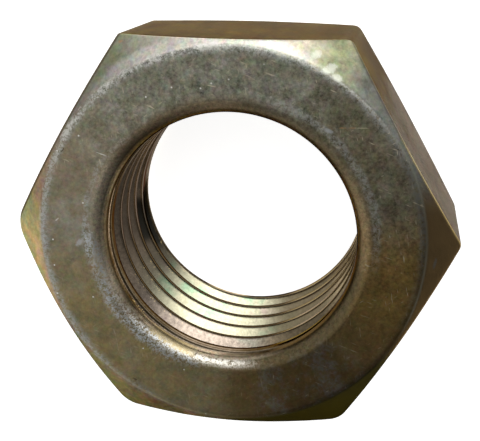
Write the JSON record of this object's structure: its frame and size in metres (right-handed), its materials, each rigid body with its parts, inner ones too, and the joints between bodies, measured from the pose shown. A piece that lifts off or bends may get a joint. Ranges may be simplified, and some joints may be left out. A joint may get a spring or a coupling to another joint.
{
  "type": "lock nut",
  "caption": "Hexagon lock nut with chamfered corners, countersunk ends and a fine right-hand internal thread, in yellow-passivated zinc-plated steel.",
  "frame": {"origin": "centre of the lower bearing face, on the thread axis", "axes": "+Z along the thread axis, away from the surface that the nut lies on; +X towards one corner of the hexagon; +Y square to one pair of flats"},
  "size_m": [0.0196, 0.017, 0.008],
  "materials": {
    "zinc_plate": "zinc plate with yellow passivation, satin, mottled olive brown with iridescent edges"
  },
  "bodies": {
    "root": {"lock_nut": "zinc_plate"}
  },
  "joints": []
}
